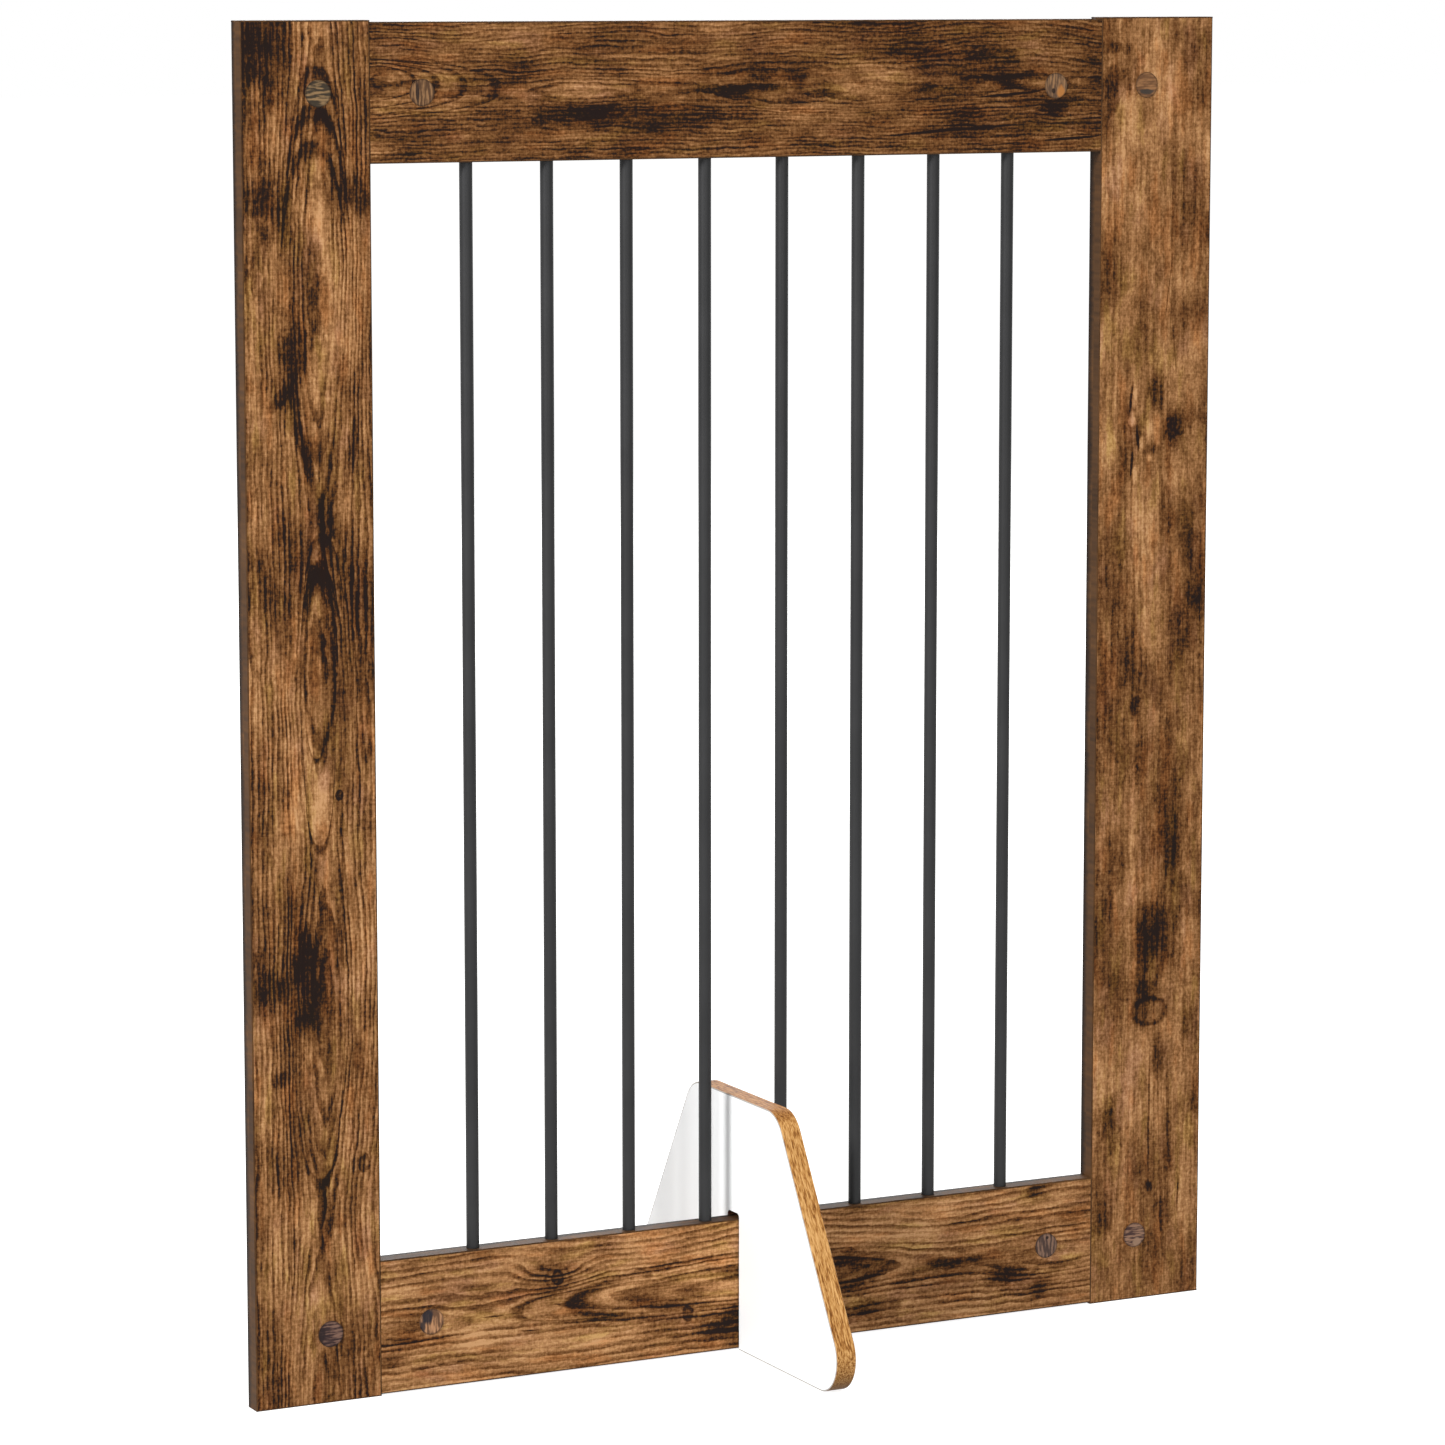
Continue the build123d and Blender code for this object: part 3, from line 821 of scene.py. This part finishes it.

# %% [markdown]
# ## The foot
#
# The foot is chipboard with white melamine on both faces. Melamine is not a flat white: it has a
# very fine pearl texture and a soft sheen. Inside the slot the raw chipboard shows, because nothing
# covers that edge; its dark brown is partly the chipboard's own colour and partly painted shade of
# the slot. The board is one piece, so its two finishes are told apart by where the surface faces:
# the white looks along X, and the slot's walls don't.
#
# The outline is edged with a pale oak strip full of short pores. They run down both slopes and along
# the flat top, so one noise is laid at the slopes' lean, another lies level, and the surface's
# direction chooses. Its top is painted browner and darker, a painted shade against the light from
# above, and its toe is darkest, a painted shadow near the floor.

# %% Dress the foot's faces
def white_melamine():
    """Make the white faces, with raw chipboard inside the slot, darkened partly with painted shade."""
    material, shade = new_material("white_melamine")
    place = shade.place()
    pearl = place.noise(900.0, detail=2.0)
    haze = place.noise(14.0, detail=3.0)
    white = shade.mix(haze, paint(250, 251, 251), paint(252, 253, 253))
    chip_sockets = {"Vector": place, "Scale": 420.0}
    chips = shade.node("ShaderNodeTexVoronoi", {"feature": "F1"}, chip_sockets, output=1)
    # The slot's chipboard is darkened well below raw chipboard: partly its own brown, partly painted
    # shade.
    bare_and_shaded = shade.mix(0.75, chips, paint(128, 96, 62))
    bare_and_shaded = shade.mix(1.0, bare_and_shaded, paint(150, 116, 80), "MULTIPLY")
    sideways = shade.facing().split()[0]
    on_face = abs(sideways).fade(0.4, 0.6)
    colour = shade.mix(on_face, bare_and_shaded, white)
    roughness = 0.9 - on_face * 0.48
    finish_material(shade, colour, roughness, pearl, bump_mm=0.015)
    dress("foot_board", material)


white_melamine()
foot_low, foot_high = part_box("foot_edge_band")
foot_size = [round((high - low) * MM_PER_METRE) for low, high in zip(foot_low, foot_high)]
print("foot is", foot_size, "mm")

# %% Dress the foot's edge
OAK_STOPS = [
    (0.37, paint(112, 68, 30)),
    (0.44, paint(160, 108, 54)),
    (0.50, paint(188, 138, 78)),
    (0.60, paint(214, 166, 106)),
]
TOP_PAINTED_SHADE = (0.66, 0.56, 0.44, 1.0)
SLOPE_LEAN = radians(30)
PORE_WIDTH = 0.0008
PORE_LENGTH = 0.0056
TOE_SHADOW_HEIGHT = 0.014


def oak_edging():
    """Make the pale oak strip. Its pores run down the two slopes and along the flat top."""
    material, shade = new_material("oak_edging")
    place = shade.place()
    x, y, z = place.split()
    mirrored = shade.node("ShaderNodeCombineXYZ", {}, {0: x, 1: abs(y), 2: z})
    down_slope = mirrored.stretch((PORE_WIDTH, PORE_WIDTH, PORE_LENGTH), turn=(SLOPE_LEAN, 0, 0))
    along_top = mirrored.stretch((PORE_WIDTH, PORE_LENGTH, PORE_WIDTH))
    sideways, _, upwards = shade.facing().split()
    on_top = upwards.fade(0.7, 0.9)
    slope_pores = down_slope.noise(1.0, detail=4.0, roughness=0.6, twist=0.25)
    top_pores = along_top.noise(1.0, detail=4.0, roughness=0.6, twist=0.25)
    pores = slope_pores * (1.0 - on_top) + top_pores * on_top
    oak = (pores * 0.80 + place.noise(45.0, detail=3.0) * 0.20).ramp(OAK_STOPS)
    # Painted shadow: the strip darkens towards the floor at its toe.
    oak = shade.mix(z.fade(TOE_SHADOW_HEIGHT, 0.0, 0.0, 0.8), oak, paint(84, 54, 28))
    # Painted shade: the top of the strip, which faces the lights, is darkened and made browner.
    oak = shade.mix(on_top, oak, TOP_PAINTED_SHADE, "MULTIPLY")
    cut_side = abs(sideways).fade(0.5, 0.8)
    oak = shade.mix(cut_side, oak, paint(176, 172, 166))
    finish_material(shade, oak, 0.55, pores, bump_mm=0.05, Specular_IOR_Level=FOIL_SHINE)
    dress("foot_edge_band", material)
    print("oak strip's finish has", len(shade.tree.nodes), "nodes")


oak_edging()

# %% [markdown]
# ## Fittings inside the joints
#
# Cams, bolts and dowels are out of sight in the finished panel, but they are real pieces and show
# when someone opens a joint. Cast zinc is dull and a little pitted, the bolts are bright plated
# steel, and the dowels are raw beech with short flecks. Each kind has one material, found by the
# start of the piece's name. The longer start comes first, because a cam bolt's name also starts
# like a cam's.

# %% Dress the fittings
def dull_metal(name, dark, pale, roughness, grain_scale):
    """Make a cast or plated metal with fine mottling."""
    material, shade = new_material(name)
    mottle = shade.place().noise(grain_scale, detail=3.0)
    colour = shade.mix(mottle.fade(0.35, 0.65), dark, pale)
    finish_material(shade, colour, roughness + mottle * 0.1, mottle, bump_mm=0.03, Metallic=1.0)
    return material


FLECK_SIZE = (0.006, 0.0007, 0.0007)


def raw_beech():
    """Make the dowels' wood: pale, with short darker flecks along X."""
    material, shade = new_material("raw_beech")
    fleck = shade.place().stretch(FLECK_SIZE).noise(1.0, detail=2.0)
    colour = shade.mix(fleck.fade(0.4, 0.62), paint(176, 128, 84), paint(222, 186, 140))
    finish_material(shade, colour, 0.7, fleck, bump_mm=0.04)
    return material


FITTINGS = {
    "cam_bolt_": dull_metal("plated_steel", paint(150, 152, 158), paint(200, 201, 204), 0.22, 300.0),
    "cam_": dull_metal("cast_zinc", paint(128, 129, 132), paint(170, 171, 174), 0.42, 700.0),
    "dowel_": raw_beech(),
}
fittings_dressed = 0
for node_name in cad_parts:
    for prefix, material in FITTINGS.items():
        if node_name.startswith(prefix):
            dress(node_name, material)
            fittings_dressed += 1
            break
print("fittings:", fittings_dressed)

# %% [markdown]
# ## Floor and light
#
# The floor is a large pale sheet, a little off white, with a glow of its own, so that it reads as an
# endless bright table and not as a grey one. A curved studio backdrop could do that, but it would
# stand in the way of a look from behind. The sheet is hidden from diffuse rays: its glow would wash
# the shadows out, and the world's even white already lights the object from below.
#
# Soft studio light comes from a panel on the left and slightly in front, with a broad fill at the
# front. The world itself is white, so the shadows stay open. The left panel is small enough to throw
# a soft shadow of a bar onto the foot. Two more fills, behind and to the right, keep the other sides
# readable.

# %% Lay the floor
FLOOR_HALF = 30.0
FLOOR_GLOW = 0.86

floor_mesh = bpy.data.meshes.new("floor")
corners = [(-1, -1), (1, -1), (1, 1), (-1, 1)]
floor_mesh.from_pydata([(x * FLOOR_HALF, y * FLOOR_HALF, 0.0) for x, y in corners], [], [(0, 1, 2, 3)])
floor = bpy.data.objects.new("floor", floor_mesh)
bpy.context.collection.objects.link(floor)
floor_material, floor_shade = new_material("lit_table")
floor_cloud = floor_shade.place().noise(3.0, detail=2.0)
floor_colour = floor_shade.mix(floor_cloud, paint(186, 186, 186), paint(190, 190, 189))
finish_material(
    floor_shade,
    floor_colour,
    0.9,
    Emission_Color=(1.0, 1.0, 1.0, 1.0),
    Emission_Strength=FLOOR_GLOW,
    Specular_IOR_Level=0.0,
)
floor_mesh.materials.append(floor_material)
floor.visible_diffuse = False
print("floor is", 2 * FLOOR_HALF, "m wide")

# %% Hang the lights
def soft_light(name, place, aim, width, height, watts):
    """Hang a rectangular light at a place and turn it towards a point."""
    data = bpy.data.lights.new(name, "AREA")
    data.shape = "RECTANGLE"
    data.size = width
    data.size_y = height
    data.energy = watts
    light = bpy.data.objects.new(name, data)
    light.location = place
    light.rotation_euler = (Vector(aim) - Vector(place)).to_track_quat("-Z", "Y").to_euler()
    bpy.context.collection.objects.link(light)
    print(name, "is", round((Vector(aim) - Vector(place)).length, 1), "m away, at", watts, "W")


PANEL_MIDDLE = (0, 0, 0.35)
soft_light("left_panel", (-3.45, -1.37, 2.30), PANEL_MIDDLE, 1.1, 1.1, 182)
soft_light("front_fill", (-0.6, -4.5, 2.2), PANEL_MIDDLE, 3.0, 2.4, 99)
soft_light("back_fill", (1.2, 4.3, 2.4), PANEL_MIDDLE, 3.0, 2.4, 150)
soft_light("right_fill", (3.6, 1.7, 2.2), PANEL_MIDDLE, 1.6, 1.6, 100)

# %% Whiten the world
WORLD_LIGHT = 0.4

world = bpy.data.worlds.new("studio")
world.use_nodes = True
world_shade = Shade(world.node_tree)
world.node_tree.nodes.clear()
seen_directly = world_shade.node("ShaderNodeLightPath")
strength = seen_directly * (1.0 - WORLD_LIGHT) + WORLD_LIGHT
room = world_shade.node("ShaderNodeBackground", {}, {"Color": (1, 1, 1, 1), "Strength": strength})
world_shade.node("ShaderNodeOutputWorld", {}, {"Surface": room})
bpy.context.scene.world = world
bpy.context.scene.view_settings.view_transform = "Standard"
print("the world lights at", WORLD_LIGHT, "and is seen as full white")

# %% End of the scene
print("scene dressed")
